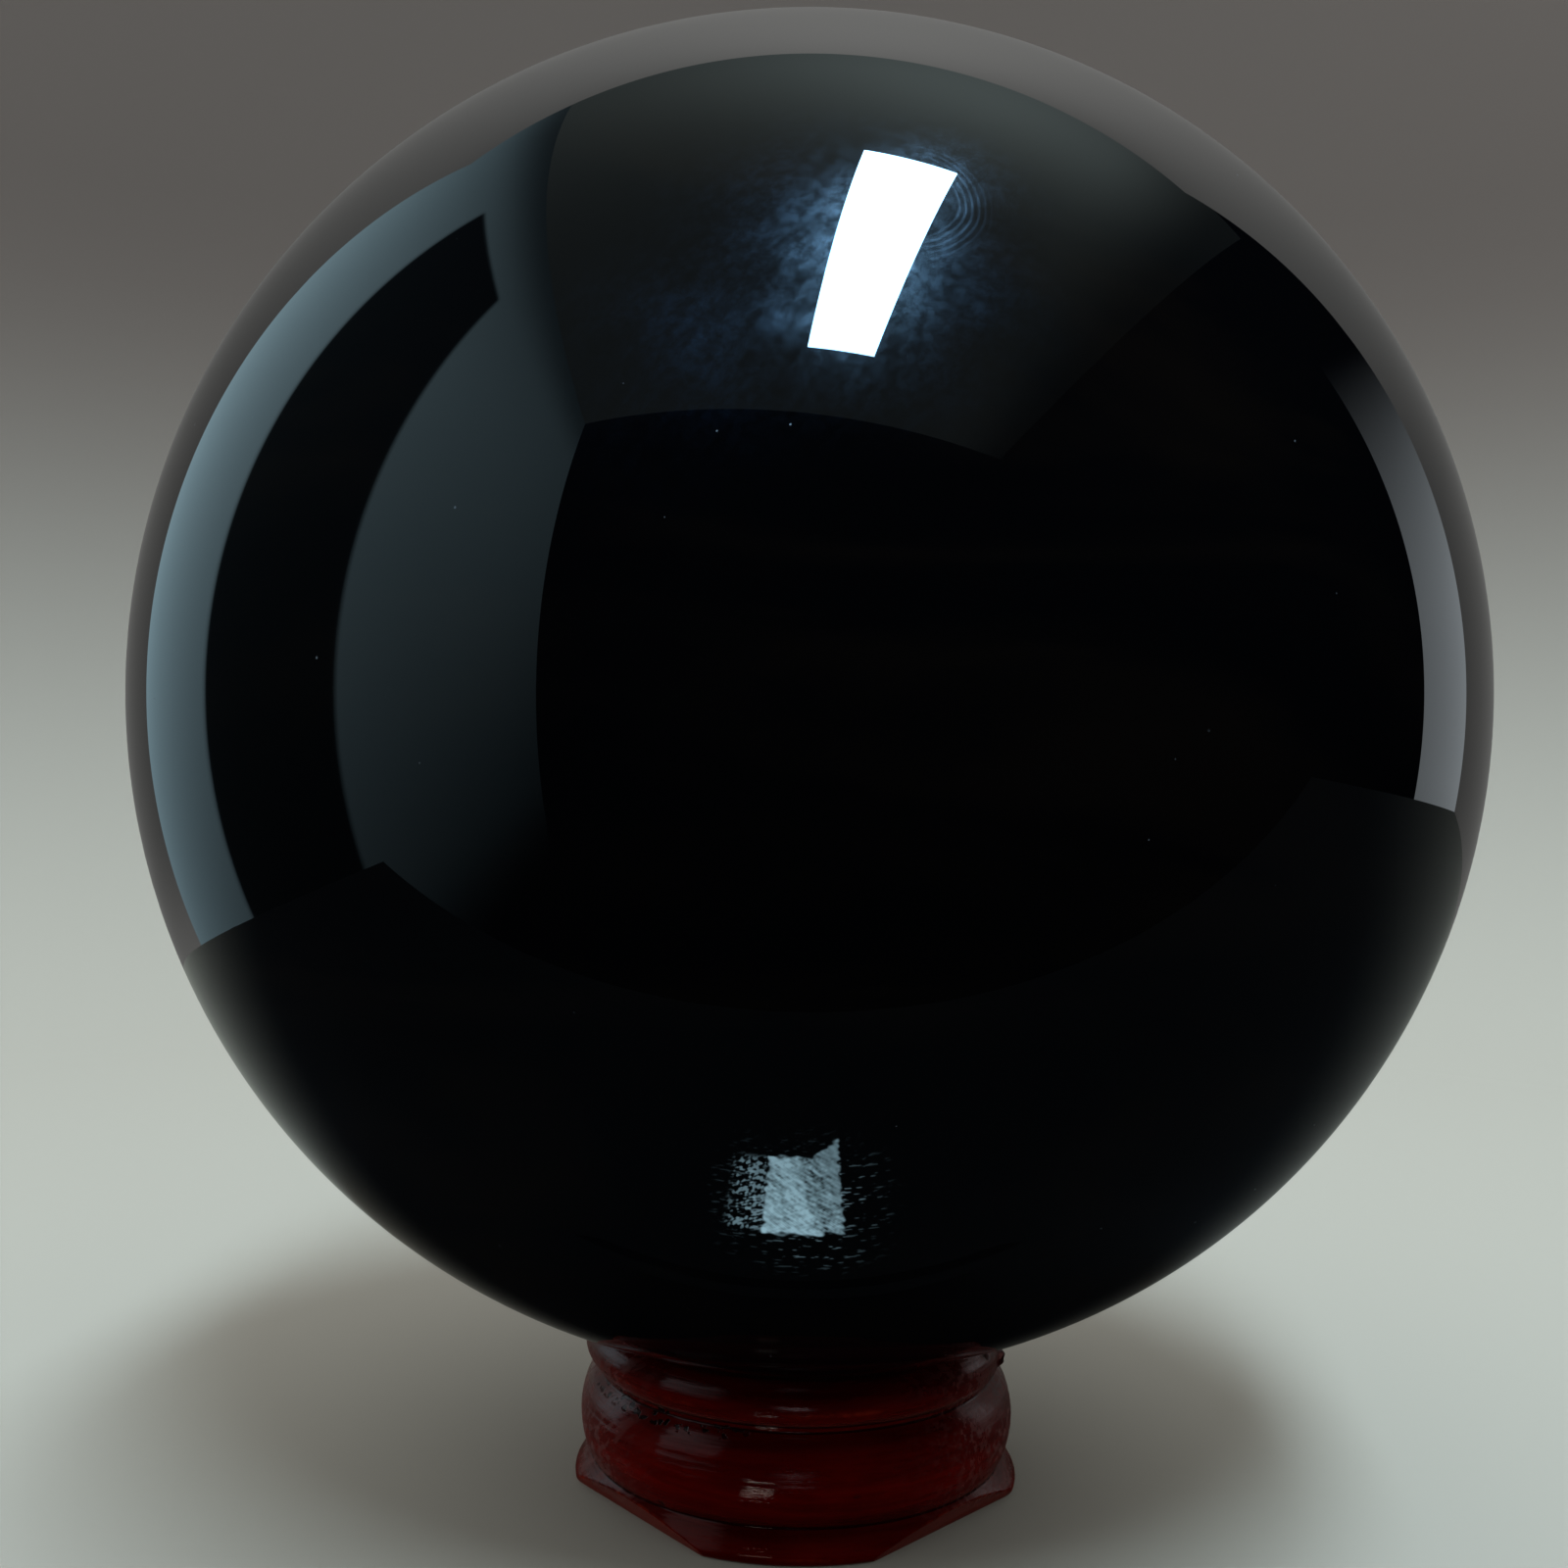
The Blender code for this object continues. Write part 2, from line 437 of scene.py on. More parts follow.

# %% [markdown]
# Wear and the dark of the grooves follow the shape. Lacquer runs off a sharp edge while it is wet and
# wears thinnest there later, so edges show the warm undercoat. The grooves are painted nearly black,
# which is painted shade. Both are read straight from how sharply the profile bends, and from how near each
# point is to the edge of a flat.
#
# The rest is partly painted light and shade and partly this stand's own history. Level bands are painted
# darker and brighter: painted shade on the rim's top under the ball, on the belly's top and on the foot,
# and painted light low on the belly. Two level lines are painted orange as painted light, along the rim's
# lower part and low on the belly. The lacquer crackled along the upper groove at the left, and both ends
# are scuffed dull, with a paler pink there that is partly painted sheen.

# %% Wear, painted light and shade, and chips as values on the points
# Half widths of the worn band along a flat's edge, on the turned side and on the flat, in millimetres.
EDGE_BAND, PLANED_BAND = 0.42, 1.5
WORN_EDGE_TOP = 5.0 * MM
# Where the painted shade in the grooves starts and where it is full, as distances from the axis.
GROOVE_SHADE_FROM, GROOVE_SHADE_FULLY = 28.0 * MM, 30.0 * MM
# Directions and reaches are in degrees, and the crackle's height and width in millimetres.
CRACKLE_DIRECTION, CRACKLE_REACH = -43.0, 34.0
CRACKLE_HEIGHT, CRACKLE_WIDTH = 17.1, 1.2
# Scuffs at both ends. Their paler pink is partly painted sheen of glancing reflections.
SCUFF_FOOT, SCUFF_DIRECTION, SCUFF_REACH = 4.4 * MM, 76.0, 26.0
LEFT_SCUFF_DIRECTION, LEFT_SCUFF_REACH, LEFT_SCUFF_SHARE = -72.0, 20.0, 0.85
# Bands of painted shade and painted light: height and half width in millimetres, and the share added.
PAINTED_SHADING_BANDS = [(23.3, 1.5, -0.66), (16.3, 1.2, -0.50), (8.9, 2.2, 0.36), (3.9, 1.3, -0.50)]
# Level lines painted orange as painted light, along the rim's lower part and low on the belly: height and
# half width, and how strongly.
PAINTED_LIGHT_LINES = [(20.6, 0.50, 0.50), (7.8, 0.30, 0.30)]


def bands(height, lines):
    """The sum over the lines (h, w, s) of s exp(-((height - h) / w)^2), with h and w in millimetres."""
    return sum(share * np.exp(-(((height / MM - level) / width) ** 2)) for level, width, share in lines)


# %% Read the wear and the painted light and shade off the shape
rightwards = smooth_step(0.0, 0.6, np.sin(angle))
edge_width = np.where(how_cut > 0.0, PLANED_BAND, EDGE_BAND)
near_flat_edge = np.exp(-((how_cut / edge_width) ** 2)) * (row_height < WORN_EDGE_TOP)
# On the right the flats' edges are painted less orange: painted light from the left.
near_flat_edge = near_flat_edge * (1.0 - 0.6 * rightwards)
above_lip = smooth_step(1.5 * MM, 3.0 * MM, row_height)
outward_bend = smooth_step(0.30, 1.1, row_bend) * (0.45 + 0.55 * above_lip)
# Wear at the edges, and the painted light of the level lines.
wear_and_painted_light = np.maximum(np.maximum(near_flat_edge, outward_bend), bands(row_height, PAINTED_LIGHT_LINES))
wear_and_painted_light = np.clip(wear_and_painted_light * showing, 0.0, 1.0)
painted_shading = bands(row_height, PAINTED_SHADING_BANDS)
# The painted shade is weaker at the sides than at the front and back.
painted_shading = 1.0 + np.where(painted_shading < 0.0, painted_shading * (0.6 + 0.4 * np.cos(angle) ** 2), painted_shading)
# Painted shade: the grooves are painted nearly black. The drop of lacquer is nearly black too.
groove_shade_and_drop = smooth_step(0.12, 1.1, -row_bend) * smooth_step(GROOVE_SHADE_FROM, GROOVE_SHADE_FULLY, row_radius)
groove_shade_and_drop = np.maximum(groove_shade_and_drop, in_drop)
planed = smooth_step(0.0, 0.5, how_cut)
crackled = np.exp(-((beside(angle, CRACKLE_DIRECTION) / math.radians(CRACKLE_REACH)) ** 2))
crackled = crackled * bands(row_height, [(CRACKLE_HEIGHT, CRACKLE_WIDTH, 1.0)])
scuffs_and_sheen = np.exp(-((beside(angle, SCUFF_DIRECTION) / math.radians(SCUFF_REACH)) ** 2))
left_scuffs = np.exp(-((beside(angle, LEFT_SCUFF_DIRECTION) / math.radians(LEFT_SCUFF_REACH)) ** 2))
scuffs_and_sheen = np.maximum(scuffs_and_sheen, LEFT_SCUFF_SHARE * left_scuffs)
scuffs_and_sheen = np.maximum(scuffs_and_sheen * smooth_step(0.0, SCUFF_FOOT, row_height), knocked)


# %% Store the wear and the painted light and shade on the points


def with_underside(values, below):
    """The values of the rows that are kept, then one number for the underside and both closing points."""
    return np.concatenate([values[1:].reshape(-1), np.full((UNDERSIDE_ROWS - 1) * COLUMNS + 2, below)])


point_value(stand, "wear_and_painted_light", with_underside(wear_and_painted_light, 0.25))
point_value(stand, "painted_shading", with_underside(painted_shading, 1.0))
point_value(stand, "groove_shade_and_drop", with_underside(groove_shade_and_drop, 0.0))
point_value(stand, "planed", with_underside(planed, 1.0))
point_value(stand, "chipped", with_underside(in_chip * showing, 0.0))
point_value(stand, "crackled", with_underside(crackled * showing, 0.0))
point_value(stand, "scuffs_and_sheen", with_underside(scuffs_and_sheen * showing, 1.0))
skirt = 1.0 - smooth_step(SCUFF_FOOT - 0.5 * MM, SCUFF_FOOT + 0.3 * MM, row_height)
point_value(stand, "dulled", with_underside(np.maximum(skirt, np.maximum(in_chip, 0.9 * scuffs_and_sheen)), 1.0))
print(f"on average worn {wear_and_painted_light.mean():.3f}, pooled {groove_shade_and_drop.mean():.3f}, chipped {in_chip.mean():.4f}")

# %% [markdown]
# ## Helpers for materials
#
# A material is a small network. `add` makes one node, sets its numbers, and links whatever socket it is
# given, so that a network reads from top to bottom like a recipe.

# %% Node helpers


def new_material(name):
    """A material with its tree and its Principled shader."""
    made = bpy.data.materials.new(name)
    made.use_nodes = True
    return made, made.node_tree, made.node_tree.nodes["Principled BSDF"]


def add(tree, kind, inputs=None, **settings):
    """One node: settings are its properties, inputs are numbers or sockets to link, by name or place."""
    made = tree.nodes.new(kind)
    for name, value in settings.items():
        setattr(made, name, value)
    for name, value in (inputs or {}).items():
        if isinstance(value, bpy.types.NodeSocket):
            tree.links.new(value, made.inputs[name])
        else:
            made.inputs[name].default_value = value
    return made


def placed(tree, scale, turn=(0.0, 0.0, 0.0)):
    """Object coordinates, turned and stretched."""
    where = add(tree, "ShaderNodeTexCoord").outputs["Object"]
    return add(tree, "ShaderNodeMapping", {"Vector": where, "Scale": scale, "Rotation": turn}).outputs[0]


def noise(tree, where, scale, detail=2.0, rough=0.5, bend=0.0):
    """Cloudy values round 0.5, about scale clouds to a metre, and finer octaves rough times as strong."""
    inputs = {"Vector": where, "Scale": scale, "Detail": detail, "Roughness": rough, "Distortion": bend}
    return add(tree, "ShaderNodeTexNoise", inputs).outputs[0]


def ramp(tree, value, low, high, to_low=0.0, to_high=1.0):
    """Takes value from low..high to to_low..to_high with an S curve, and holds it outside."""
    inputs = {"Value": value, "From Min": low, "From Max": high, "To Min": to_low, "To Max": to_high}
    return add(tree, "ShaderNodeMapRange", inputs, interpolation_type="SMOOTHSTEP").outputs[0]


def sums(tree, operation, a, b, c=0.0):
    """One step of arithmetic on two or three values."""
    return add(tree, "ShaderNodeMath", {0: a, 1: b, 2: c}, operation=operation).outputs[0]


def blend(tree, share, a, b):
    """Colour a where share is 0 and b where it is 1."""
    a, b = ((*colour, 1.0) if isinstance(colour, tuple) else colour for colour in (a, b))
    return add(tree, "ShaderNodeMix", {0: share, 6: a, 7: b}, data_type="RGBA").outputs[2]


def stored(tree, name):
    """The number that `point_value` stored under this name."""
    return add(tree, "ShaderNodeAttribute", attribute_name=name).outputs["Fac"]


# %% [markdown]
# ## The finish of the ball
#
# Polished obsidian is a black dielectric: it sends back about 4 parts in 100 of what stands before it,
# more towards its outline, and swallows the rest. So the base is nearly black, with the refractive index
# of volcanic glass, 1.49.
#
# Four faint things keep it from looking like a computer's black. Flow bands, where the lava folded, are
# a shade browner than the rest. Polishing powder left in patches scatters the lamp into a cool haze: it
# is a rougher second layer where the patches are, and a blue tint of the base there, which is painted
# haze, most of all round the lamp's reflection. The polishing pad left a few fine rings beside the lamp,
# which add to both. And single grains of dust sit on the glass.

# %% Where the polishing powder stayed
# Each patch's middle, round from the front and above level, its reach, all in degrees, and its strength.
# The patches nearest the front sit round the lamp's reflection, where their blue is painted haze.
POWDER_PATCHES = [
    (-1.1, 22.7, 2.4, 0.9),
    (-1.0, 26.2, 2.2, 0.75),
    (1.8, 21.5, 3.6, 0.35),
    (2.6, 27.0, 6.0, 0.8),
    (6.0, 22.8, 2.6, 0.3),
    (7.5, 33.0, 4.6, 0.40),
    (-7.0, 21.0, 5.5, 0.22),
    (10.5, 23.5, 3.0, 0.16),
    (128.0, 38.0, 8.0, 0.11),
    (-140.0, 20.0, 9.0, 0.10),
    (-95.0, 50.0, 7.0, 0.10),
    (175.0, -15.0, 9.0, 0.07),
]
PATCH_TAIL = 0.015


def patch_middles(places):
    """Unit directions (cos b sin a, -cos b cos a, sin b), with a round from the front and b above level."""
    around, above = np.radians(np.array(places)[:, :2]).T
    level = np.cos(above)
    return np.stack([level * np.sin(around), -level * np.cos(around), np.sin(above)], axis=1)


def patch_share(directions, patches):
    """The strongest patch at each direction: strength times ((1 + (angle / reach)^2)^-2 less the tail)."""
    share = np.zeros(len(directions))
    for middle, (_, _, reach, strength) in zip(patch_middles(patches), patches):
        apart = np.arccos(np.clip(directions @ middle, -1.0, 1.0)) / math.radians(reach)
        share = np.maximum(share, strength * ((1.0 + apart**2) ** -2 - PATCH_TAIL))
    return share


powder_share = patch_share(directions, POWDER_PATCHES)
point_value(ball, "powder", powder_share)
print(f"powder shows on {(powder_share > 0.1).mean():.3f} of the ball")

# %% Obsidian
# Fine rings left by the polishing pad: the direction of their middle in degrees, and their size.
POLISHING_MARK = (6.6, 31.6)
MARK_SPACING, MARK_INNER, MARK_OUTER = 0.78 * MM, 5.0 * MM, 10.2 * MM
MARK_STRENGTH = 0.17
WIPE_LEAN = math.radians(55.0)
# Colours are shares of the red, green and blue light that come back.
GLASS_BLACK, FLOW_BROWN = (0.0006, 0.0007, 0.0010), (0.0018, 0.0015, 0.0014)
# The powder's blue is painted haze, standing in for lamp light scattered round the lamp's reflection.
POWDER_PAINTED_HAZE_BLUE, DUST_GREY = (0.004, 0.026, 0.070), (0.07, 0.09, 0.11)
VOLCANIC_GLASS_IOR, COAT_IOR = 1.49, 1.5

obsidian, tree, shader = new_material("polished_obsidian")
flow = noise(tree, placed(tree, (9.0, 14.0, 34.0), (0.5, 0.25, 0.3)), 1.0, 4.0, 0.6, 1.2)
glass_colour = blend(tree, ramp(tree, flow, 0.45, 0.75), GLASS_BLACK, FLOW_BROWN)

plain_place = placed(tree, (1.0, 1.0, 1.0))
mottle = ramp(tree, noise(tree, plain_place, 850.0, 4.0, 0.70), 0.36, 0.66, 0.35, 1.0)
leaning = placed(tree, (1.0, 1.0, 1.0), (0.0, WIPE_LEAN, 0.0))
wiped = add(tree, "ShaderNodeMapping", {"Vector": leaning, "Scale": (170.0, 700.0, 700.0)}).outputs[0]
smears = ramp(tree, noise(tree, wiped, 1.0, 3.0, 0.6), 0.34, 0.64, 0.40, 1.0)
slow = ramp(tree, noise(tree, plain_place, 90.0, 2.0), 0.36, 0.62, 0.45, 1.0)
powdered = sums(tree, "MULTIPLY", sums(tree, "MULTIPLY", smears, slow), stored(tree, "powder"))
haze = sums(tree, "MULTIPLY", mottle, powdered)

object_place = add(tree, "ShaderNodeTexCoord").outputs["Object"]
across = add(tree, "ShaderNodeSeparateXYZ", {0: object_place}).outputs[0]
wobble = sums(tree, "MULTIPLY", noise(tree, plain_place, 130.0, 2.0), 9.0)
mark = Vector(patch_middles([POLISHING_MARK])[0]) * BALL_RADIUS + BALL_MIDDLE
apart = add(tree, "ShaderNodeVectorMath", {0: object_place, 1: mark}, operation="DISTANCE").outputs["Value"]
rings = sums(tree, "SINE", sums(tree, "MULTIPLY_ADD", apart, 2 * math.pi / MARK_SPACING, wobble), 0.0)
rings = ramp(tree, rings, -0.2, 1.0, 0.0, MARK_STRENGTH)
rings = sums(tree, "MULTIPLY", rings, ramp(tree, apart, MARK_INNER, 1.25 * MARK_INNER))
rings = sums(tree, "MULTIPLY", rings, ramp(tree, apart, 0.75 * MARK_OUTER, MARK_OUTER, 1.0, 0.0))
rings = sums(tree, "MULTIPLY", rings, ramp(tree, across, mark.x + 1.0 * MM, mark.x + 4.0 * MM))
haze = sums(tree, "MULTIPLY_ADD", rings, smears, haze)

grain_cells = add(tree, "ShaderNodeTexVoronoi", {"Vector": plain_place, "Scale": 190.0}, feature="F1")
grain_size = sums(tree, "MULTIPLY", grain_cells.outputs["Color"], 0.036)
grain = sums(tree, "LESS_THAN", grain_cells.outputs["Distance"], grain_size)
thin_out = ramp(tree, noise(tree, plain_place, 14.0, 1.0), 0.40, 0.46)
grain = sums(tree, "MULTIPLY", grain, thin_out)
print(f"rings {MARK_SPACING / MM:.2f} mm apart, their middle at {mark.z / MM:.0f} mm above the table")

# %% The obsidian's shader
# Painted haze: the base turns blue where the haze is.
painted_haze_colour = blend(tree, haze, glass_colour, POWDER_PAINTED_HAZE_BLUE)
dusted = blend(tree, sums(tree, "MULTIPLY", grain, 0.7), painted_haze_colour, DUST_GREY)
tree.links.new(dusted, shader.inputs["Base Color"])
tree.links.new(sums(tree, "MULTIPLY_ADD", grain, 0.4, 0.006), shader.inputs["Roughness"])
tree.links.new(sums(tree, "MULTIPLY", haze, 0.50), shader.inputs["Coat Weight"])
shader.inputs["Coat Roughness"].default_value = 0.27
shader.inputs["Coat IOR"].default_value = COAT_IOR
shader.inputs["IOR"].default_value = VOLCANIC_GLASS_IOR
ball.data.materials.append(obsidian)
print("obsidian:", len(tree.nodes), "nodes")

# %% [markdown]
# ## The finish of the stand
#
# The red is a thick glossy lacquer over a warm undercoat. Where it is thick it is a deep blood red and
# where it is thin it turns orange. Level bands darker and brighter, two orange lines and lighter flats are
# painted light and shade, and the grooves are painted almost black as painted shade. The brush went round
# while the piece turned, so every streak runs level. The noise that makes the streaks is squeezed upright:
# its scale is many times finer up the body than round it.
#
# The gloss is mostly the paint's own, tinted warm, under a thin clear coat and with a trace of sheen at
# glancing angles. Where it is scuffed, both turn dull, and slanting marks show a paler pink, which is
# partly painted sheen of the glancing reflections at both ends. The surface is not flat: low ridges break
# what it mirrors into short level dashes, the surest sign of brushed lacquer.

# %% Red lacquer
DEEP_RED, BRIGHT_RED = (0.040, 0.0004, 0.0003), (0.072, 0.0008, 0.0005)
CLOUD_RED, STREAK_RED = (0.098, 0.0018, 0.0008), (0.019, 0.0003, 0.0003)
# The orange is wear at the edges, and also painted light along two level lines and at the left.
WEAR_AND_LIGHT_ORANGE, GROOVE_SHADE_AND_DROP_BLACK = (0.210, 0.0170, 0.0060), (0.006, 0.0004, 0.0004)
# The flats' faces are painted lighter as painted light from the floor. The scuffs' pink is partly painted
# sheen.
PLANED_RED_PAINTED_LIGHTER, SCUFF_AND_SHEEN_PINK = (0.085, 0.0100, 0.0075), (0.150, 0.055, 0.052)
DARK_WOOD, PALE_WOOD = (0.004, 0.002, 0.002), (0.030, 0.011, 0.008)
CRACKLE_BLACK = (0.003, 0.0006, 0.0006)

lacquer, tree, shader = new_material("red_lacquered_wood")
around = placed(tree, (1.0, 1.0, 9.0))
streaks = noise(tree, around, 70.0, 5.0, 0.6, 0.3)
fine_streaks = noise(tree, placed(tree, (1.0, 1.0, 14.0)), 190.0, 4.0, 0.65)
clouds = noise(tree, placed(tree, (1.0, 1.0, 1.6)), 55.0, 3.0, 0.55, 0.5)
speckle = noise(tree, placed(tree, (1.0, 1.0, 1.0)), 900.0, 2.0, 0.6)

red = blend(tree, ramp(tree, streaks, 0.32, 0.70), DEEP_RED, BRIGHT_RED)
red = blend(tree, ramp(tree, clouds, 0.50, 0.80, 0.0, 0.55), red, CLOUD_RED)
red = blend(tree, ramp(tree, fine_streaks, 0.55, 0.80, 0.0, 0.5), red, STREAK_RED)

# Painted shade and painted light: the level bands scale the red.
painted_shading_scale = {0: red, "Scale": stored(tree, "painted_shading")}
red = add(tree, "ShaderNodeVectorMath", painted_shading_scale, operation="SCALE").outputs[0]

# Wear and painted light, broken up by clouds and speckle.
wear_and_light_mottled = sums(tree, "MULTIPLY", stored(tree, "wear_and_painted_light"), ramp(tree, clouds, 0.36, 0.62, 0.25, 1.0))
wear_and_light_mottled = sums(tree, "MULTIPLY", wear_and_light_mottled, ramp(tree, speckle, 0.30, 0.62, 0.45, 1.0))
red = blend(tree, ramp(tree, wear_and_light_mottled, 0.10, 0.85, 0.0, 0.85), red, WEAR_AND_LIGHT_ORANGE)
# Painted shade in the grooves, and the dark of the drop.
red = blend(tree, ramp(tree, stored(tree, "groove_shade_and_drop"), 0.05, 0.9, 0.0, 0.92), red, GROOVE_SHADE_AND_DROP_BLACK)
# Painted light: the faces of the flats are painted lighter, for light from the floor under the foot.
red = blend(tree, sums(tree, "MULTIPLY", stored(tree, "planed"), 0.5), red, PLANED_RED_PAINTED_LIGHTER)
slanting = placed(tree, (1.0, 1.0, 1.0), (0.0, 0.6, 0.4))
slanting = add(tree, "ShaderNodeMapping", {"Vector": slanting, "Scale": (180.0, 900.0, 900.0)}).outputs[0]
marks = ramp(tree, noise(tree, slanting, 1.0, 3.0, 0.6), 0.46, 0.62, 0.0, 0.7)
# Painted sheen: the slanting marks at the scuffed ends turn a paler pink.
red = blend(tree, sums(tree, "MULTIPLY", marks, stored(tree, "scuffs_and_sheen")), red, SCUFF_AND_SHEEN_PINK)
bare_wood = blend(tree, ramp(tree, speckle, 0.4, 0.6), DARK_WOOD, PALE_WOOD)
red = blend(tree, stored(tree, "chipped"), red, bare_wood)
swirl_place = placed(tree, (1.0, 1.0, 1.3))
swirl = add(tree, "ShaderNodeTexNoise", {"Vector": swirl_place, "Scale": 700.0, "Detail": 2.0})
swirled = {0: swirl.outputs["Color"], 1: (0.0018, 0.0018, 0.0018), 2: swirl_place}
swirled = add(tree, "ShaderNodeVectorMath", swirled, operation="MULTIPLY_ADD").outputs[0]
crackle_cells = add(tree, "ShaderNodeTexVoronoi", {"Vector": swirled, "Scale": 640.0}, feature="F1")
crackle = ramp(tree, crackle_cells.outputs["Distance"], 0.30, 0.50, 1.0, 0.0)
crackle = sums(tree, "MULTIPLY", crackle, stored(tree, "crackled"))
crackle = ramp(tree, crackle, 0.30, 0.55)
red = blend(tree, crackle, red, CRACKLE_BLACK)
tree.links.new(red, shader.inputs["Base Color"])
print("lacquer colour:", len(tree.nodes), "nodes")

# %% The lacquer's gloss and relief
dull = ramp(tree, streaks, 0.3, 0.7, 0.05, 0.09)
scuffs = sums(tree, "MULTIPLY", stored(tree, "scuffs_and_sheen"), sums(tree, "MULTIPLY_ADD", marks, 0.5, 0.34))
dull = sums(tree, "ADD", scuffs, dull)
tree.links.new(sums(tree, "MULTIPLY_ADD", stored(tree, "chipped"), 0.4, dull), shader.inputs["Roughness"])
shader.inputs["IOR"].default_value = 1.5
shader.inputs["Specular IOR Level"].default_value = 0.32
shader.inputs["Specular Tint"].default_value = (1.0, 0.32, 0.26, 1.0)
tree.links.new(ramp(tree, stored(tree, "dulled"), 0.0, 1.0, 0.25, 0.02), shader.inputs["Coat Weight"])
shader.inputs["Coat Roughness"].default_value = 0.06
shader.inputs["Coat IOR"].default_value = COAT_IOR
shader.inputs["Sheen Weight"].default_value = 0.05
shader.inputs["Sheen Roughness"].default_value = 0.35
shader.inputs["Sheen Tint"].default_value = (1.0, 0.62, 0.48, 1.0)

waviness = {"Height": streaks, "Strength": 0.35, "Distance": 0.00030}
waviness = add(tree, "ShaderNodeBump", waviness).outputs[0]
ridged = {"Height": fine_streaks, "Strength": 0.35, "Distance": 0.00010, "Normal": waviness}
ridged = add(tree, "ShaderNodeBump", ridged).outputs[0]
pitted = {"Height": crackle, "Strength": 0.8, "Distance": 0.00025, "Normal": ridged}
surface = add(tree, "ShaderNodeBump", pitted, invert=True).outputs[0]
tree.links.new(surface, shader.inputs["Normal"])
tree.links.new(surface, shader.inputs["Coat Normal"])
stand.data.materials.append(lacquer)
print("lacquer:", len(tree.nodes), "nodes")

# %% [markdown]
# ## The pieces take their places
#
# Each finished surface rides on the model's root and stands for one solid of the imported model, which is
# hidden. Its material was made earlier under the finish name listed here.

# %% Ride and replace
for piece, solid, finish in (
    (ball, "obsidian_sphere", "polished_obsidian"),
    (stand, "wooden_stand", "red_lacquered_wood"),
):
    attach(piece, "root")
    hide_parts(solid)
print("pieces:", ball.name, "and", stand.name)

# %% [markdown]
# ## The studio
#
# The floor and the backdrop are one pale sweep, a round one, so that the ball can be looked at from any
# side. It is matt, because a glossy sweep would bend the lamp into a streak right behind the ball.
#
# What the ball mirrors is lit apart from that. A black mirror shows every lamp and every wall, so its
# light is built like a photographer's: a strong lamp overhead, a wide dim cloth round the lamp, a
# tall flat at the left with a dark board before its middle, a card at the right, and darkness in front.
# These sheets are met by mirrored rays alone. The camera and the soft light on the floor pass through.
#
# Their places come from the picture. A point of a reflection is followed back: out of the camera, onto
# the ball, off it as off a mirror, and on to the height of the ceiling.

# %% Where a mirrored point comes from
CEILING_HEIGHT = 1.9


def mirrored_ray(pixel):
    """Where the line of sight through a pixel meets the ball, and how it goes on: d - 2 (d.n) n."""
    middle = PICTURE_WIDTH / 2
    sight = FORWARD + (pixel[0] - middle) / FOCAL_PIXELS * RIGHT - (pixel[1] - middle) / FOCAL_PIXELS * UP
    sight.normalize()
    to_ball = BALL_MIDDLE - CAMERA_PLACE
    nearest = to_ball.dot(sight)
    miss_squared = to_ball.length_squared - nearest**2
    meets = CAMERA_PLACE + sight * (nearest - math.sqrt(BALL_RADIUS**2 - miss_squared))
    normal = (meets - BALL_MIDDLE).normalized()
    return meets, sight - 2 * sight.dot(normal) * normal


def at_height(pixel, height):
    """The point at this height above the table that the ball mirrors at this pixel."""
    meets, direction = mirrored_ray(pixel)
    return meets + direction * ((height - meets.z) / direction.z)


LAMP_CORNERS = [(882, 153), (977, 177), (892, 364), (824, 354)]
lamp_points = [at_height(pixel, CEILING_HEIGHT) for pixel in LAMP_CORNERS]
for pixel, point in zip(LAMP_CORNERS, lamp_points):
    print(f"lamp corner {pixel} hangs at x {point.x:.2f}, y {point.y:.2f} m")

# %% [markdown]
# Each sheet of the studio is a flat or a round grid. On most of them the points hold a glow, and the
# material gives off that much light.

# %% Studio helpers


def seen_by(obj, camera=True, mirror=True, scatter=True):
    """Which rays meet a stage sheet. None throws a shadow, so the lamp's light passes through them all."""
    obj.visible_camera = camera
    obj.visible_glossy = mirror
    obj.visible_diffuse = scatter
    obj.visible_shadow = False


def glowing(name, colour, strength, lights_the_room=False, see_through=False):
    """A material that gives off as much light as the glow stored on the sheet's points says.

    With see_through the light comes on top of what lies behind the sheet.
    """
    made = bpy.data.materials.new(name)
    made.use_nodes = True
    made.cycles.emission_sampling = "AUTO" if lights_the_room else "NONE"
    tree = made.node_tree
    tree.nodes.clear()
    power = sums(tree, "MULTIPLY", stored(tree, "glow"), strength)
    light = add(tree, "ShaderNodeEmission", {"Color": (*colour, 1.0), "Strength": power})
    if see_through:
        clear = add(tree, "ShaderNodeBsdfTransparent")
        light = add(tree, "ShaderNodeAddShader", {0: light.outputs[0], 1: clear.outputs[0]})
    add(tree, "ShaderNodeOutputMaterial", {"Surface": light.outputs[0]})
    return made


def flat_sheet(name, corners, steps):
    """A flat grid between corners a, b, c, d: (1-u)(1-v) a + u(1-v) b + uv c + (1-u)v d."""
    v, u = np.meshgrid(np.linspace(0, 1, steps + 1), np.linspace(0, 1, steps + 1), indexing="ij")
    shares = np.stack([(1 - u) * (1 - v), u * (1 - v), u * v, (1 - u) * v], axis=-1).reshape(-1, 4)
    points = shares @ np.array([tuple(corner) for corner in corners])
    here = (np.arange(steps)[:, None] * (steps + 1) + np.arange(steps)).reshape(-1)
    faces = np.stack([here, here + 1, here + steps + 2, here + steps + 1], axis=1)
    return mesh_object(name, points, faces.tolist())


def level_corners(left, right, front, back, height):
    """Corners of a level sheet, from its front left corner round."""
    return [(left, front, height), (right, front, height), (right, back, height), (left, back, height)]


